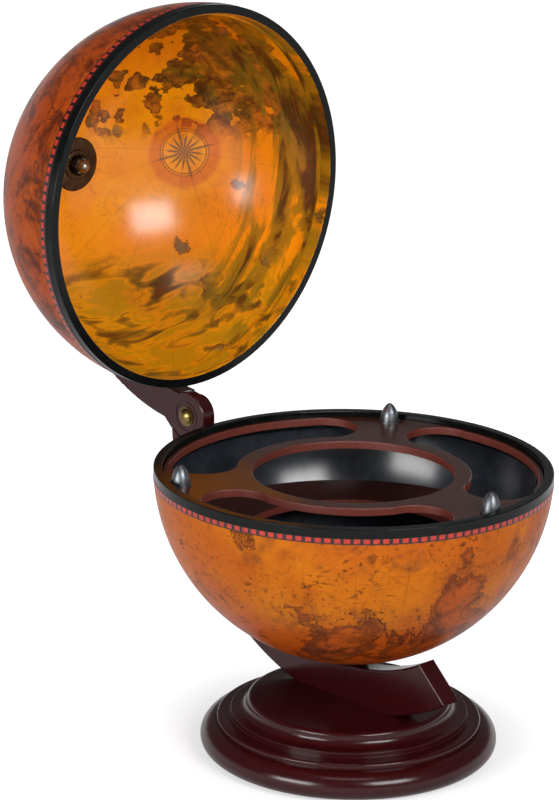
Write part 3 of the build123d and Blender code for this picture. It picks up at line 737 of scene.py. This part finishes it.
# the floor's own light is dimmer near the object, fading in between these distances: a painted shadow round
# the base
GLOW_START, GLOW_FULL = 110 * MM, 240 * MM
GLOW_IN_PAINTED_SHADOW, GLOW_FAR = 0.55, 0.88

ROOM_LIGHT = 0.38            # strength of the light from all round
BACKDROP_LOW, BACKDROP_HIGH = 0.04, 0.24     # the backdrop in glossy surfaces, as heights on the unit sky
BACKDROP_BRIGHT, BACKDROP_DIM = 1.0, 0.12

# Area lights: azimuth from the camera's and elevation in degrees, then distance, width and height in
# metres, and power in watts
SOFTBOXES = {
    "left softbox": (-40, 11, 2.0, 1.0, 0.6, 28),
    "right softbox": (35, 29, 2.0, 1.0, 0.65, 30),
    "top softbox": (0, 75, 2.2, 1.0, 1.0, 8),
}


def seen_rays(tree, dark, mirrored, seen):
    """One value for the camera's rays, one for those from glossy and clear surfaces, one for all others."""
    path = add(tree, "ShaderNodeLightPath").outputs
    clear = add(tree, MATH, LARGER, {0: path["Is Glossy Ray"], 1: path["Is Transmission Ray"]})
    other = add(tree, MIX, NUMBERS, {"Factor": clear, "A": dark, "B": mirrored})
    return add(tree, MIX, NUMBERS, {"Factor": path["Is Camera Ray"], "A": other, "B": seen})


def white_paper():
    """White paper. Some light of its own keeps it white to the eye; less of it near the object paints a
    soft shadow round the base.
    """
    material, tree = new_tree("white paper")
    place = add(tree, COORDINATES).outputs["Object"]
    paper = add(tree, "ShaderNodeBsdfDiffuse", {}, {"Color": "#b4b4b4"})
    spread = {"From Min": GLOW_START, "From Max": GLOW_FULL, "To Min": GLOW_IN_PAINTED_SHADOW, "To Max": GLOW_FAR}
    glow = add(tree, RANGE, SMOOTH, {"Value": axis_distance(tree, place), **spread})
    glow = add(tree, MATH, MULTIPLY, {0: glow, 1: seen_rays(tree, 0.0, FLOOR_LIGHT, 1.0)})
    glow = add(tree, "ShaderNodeEmission", {}, {"Color": "#ffffff", "Strength": glow})
    both = add(tree, "ShaderNodeAddShader", {}, {0: paper, 1: glow})
    add(tree, "ShaderNodeOutputMaterial", {}, {"Surface": both})
    return material


def paper_floor():
    """A level square of paper under the object."""
    half_side = FLOOR_SIDE / 2
    corners = [(x * half_side, y * half_side, 0) for x, y in ((-1, -1), (1, -1), (1, 1), (-1, 1))]
    mesh = bpy.data.meshes.new("floor")
    mesh.from_pydata(corners, [], [(0, 1, 2, 3)])
    mesh.materials.append(white_paper())
    floor = bpy.data.objects.new("floor", mesh)
    bpy.context.scene.collection.objects.link(floor)


def studio_world():
    """Even light from all round. The camera sees it white, and glossy surfaces see it darken upwards."""
    world = bpy.data.worlds.new("studio")
    world.use_nodes = True
    world.node_tree.nodes.clear()
    tree = world.node_tree
    sky = add(tree, COORDINATES).outputs["Generated"]
    height = add(tree, SPLIT, {}, {0: sky}).outputs["Z"]
    bounds = {"From Min": BACKDROP_LOW, "From Max": BACKDROP_HIGH}
    fall = {"To Min": BACKDROP_BRIGHT, "To Max": BACKDROP_DIM}
    backdrop = add(tree, RANGE, SMOOTH, {"Value": height, **bounds, **fall})
    strength = seen_rays(tree, ROOM_LIGHT, backdrop, 1.0)
    background = add(tree, "ShaderNodeBackground", {}, {"Color": "#ffffff", "Strength": strength})
    add(tree, "ShaderNodeOutputWorld", {}, {"Surface": background})
    bpy.context.scene.world = world


def softbox(name, azimuth, elevation, distance, width, height, power):
    """An area light, aimed at the globe. The azimuth is from the camera's own, towards its right."""
    azimuth, elevation = math.radians(azimuth), math.radians(elevation)
    flat = camera_flat * math.cos(azimuth) + camera_side * math.sin(azimuth)
    direction = flat * math.cos(elevation) + Vector((0, 0, math.sin(elevation)))
    lamp = bpy.data.lights.new(name, "AREA")
    lamp.shape = "RECTANGLE"
    lamp.size, lamp.size_y = width, height
    lamp.energy = power
    box = bpy.data.objects.new(name, lamp)
    box.location = BOWL_CENTRE + direction * distance
    box.rotation_euler = direction.to_track_quat("Z", "Y").to_euler()
    bpy.context.scene.collection.objects.link(box)


paper_floor()
studio_world()
for name, settings in SOFTBOXES.items():
    softbox(name, *settings)

# The camera stands at a distance from the globe's centre. It looks a little past it and leans.
CAMERA_DISTANCE = 2508.8 * MM
CAMERA_YAW = math.radians(-1.4171)
CAMERA_PITCH = math.radians(1.1623)
CAMERA_ROLL = math.radians(1.1994)
FOCAL_PIXELS = 3048.6
PICTURE_HEIGHT = 800
SENSOR = 36.0
FARTHEST = 50.0       # how far the camera sees, in metres


def turned(first, second, angle):
    """Two directions square to each other, turned in their plane."""
    cosine, sine = math.cos(angle), math.sin(angle)
    return first * cosine + second * sine, second * cosine - first * sine


direction = camera_flat * math.cos(CAMERA_ELEVATION) + Vector((0, 0, math.sin(CAMERA_ELEVATION)))
forward = -direction
right = forward.cross(Vector((0, 0, 1))).normalized()
up = right.cross(forward)
forward, right = turned(forward, right, CAMERA_YAW)
forward, up = turned(forward, up, CAMERA_PITCH)
right, up = turned(right, up, CAMERA_ROLL)
camera_data = bpy.data.cameras.new("camera")
camera_data.sensor_fit = "VERTICAL"
camera_data.sensor_height = SENSOR
camera_data.lens = FOCAL_PIXELS * SENSOR / PICTURE_HEIGHT
camera_data.clip_end = FARTHEST
camera = bpy.data.objects.new("camera", camera_data)
axes = Matrix((right, up, -forward)).transposed().to_4x4()
camera.matrix_world = Matrix.Translation(BOWL_CENTRE + direction * CAMERA_DISTANCE) @ axes
bpy.context.scene.collection.objects.link(camera)
bpy.context.scene.camera = camera

bpy.context.scene.view_settings.view_transform = "Standard"
